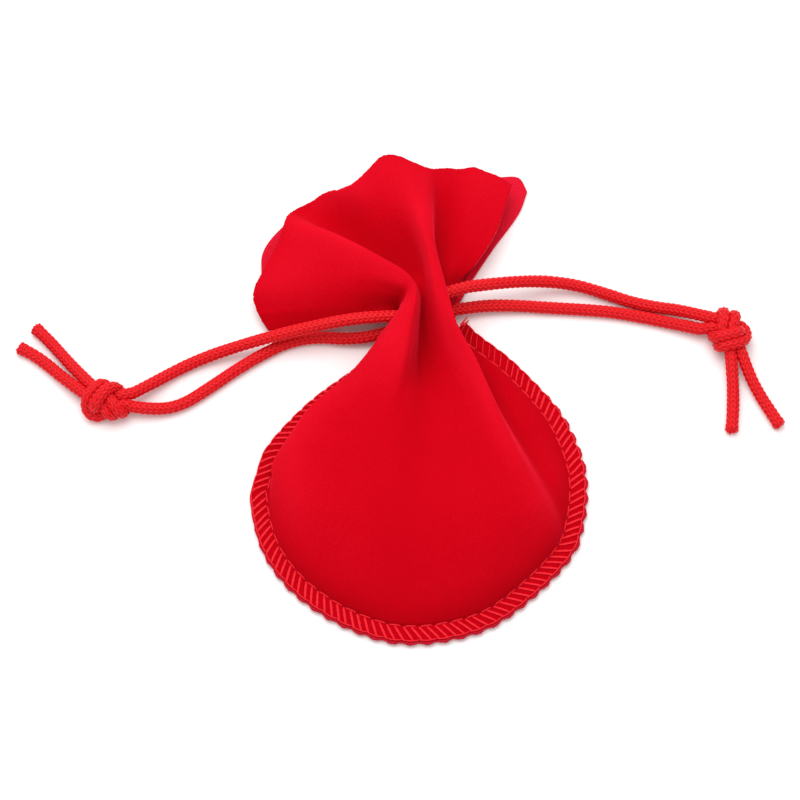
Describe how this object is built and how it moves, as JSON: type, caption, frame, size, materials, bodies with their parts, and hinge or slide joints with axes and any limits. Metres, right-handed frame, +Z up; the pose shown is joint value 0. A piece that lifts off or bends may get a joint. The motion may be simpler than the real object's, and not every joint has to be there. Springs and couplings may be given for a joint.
{
  "type": "drawstring gift pouch",
  "caption": "Small gourd-shaped velvet pouch with an overlocked edge, open mouth flaps above a gathered neck, and two knotted drawstrings pulling out to either side.",
  "frame": {"origin": "centre of the round belly, on the surface that the back cloth rests on", "axes": "+X to the right seen from the front cloth, +Y from the belly to the mouth, +Z up out of the front cloth"},
  "size_m": [0.1669, 0.114, 0.013],
  "materials": {
    "velvet": "short-pile velvet, bright red, with a pinkish knitted back",
    "sewing_thread": "spun polyester overlock thread, satin",
    "drawstring": "round braided satin cord"
  },
  "bodies": {
    "pouch": {"back_cloth": "velvet", "front_cloth": "velvet", "needle_thread": "sewing_thread", "upper_looper_thread": "sewing_thread", "lower_looper_thread": "sewing_thread", "seam_thread_ends": "sewing_thread"},
    "mouth_flap": {"front_mouth_flap": "velvet"},
    "left_drawstring": {"left_knot": "drawstring", "left_neck_loop": "drawstring", "left_upper_strand": "drawstring", "left_lower_strand": "drawstring", "left_upper_tail": "drawstring", "left_lower_tail": "drawstring"},
    "right_drawstring": {"right_knot": "drawstring", "right_neck_loop": "drawstring", "right_upper_strand": "drawstring", "right_lower_strand": "drawstring", "right_inner_tail": "drawstring", "right_outer_tail": "drawstring"}
  },
  "joints": [
    {"name": "mouth_flap_turn", "type": "hinge", "parent": "pouch", "child": "mouth_flap", "pos_m": [0, 0.0462, 0.0122], "axis": [1, 0, 0], "range_deg": [0, 60]},
    {"name": "left_drawstring_slide", "type": "slide", "parent": "pouch", "child": "left_drawstring", "axis": [1, 0, 0], "range_m": [0, 0.01]},
    {"name": "right_drawstring_slide", "type": "slide", "parent": "pouch", "child": "right_drawstring", "axis": [-1, 0, 0], "range_m": [0, 0.01]}
  ]
}
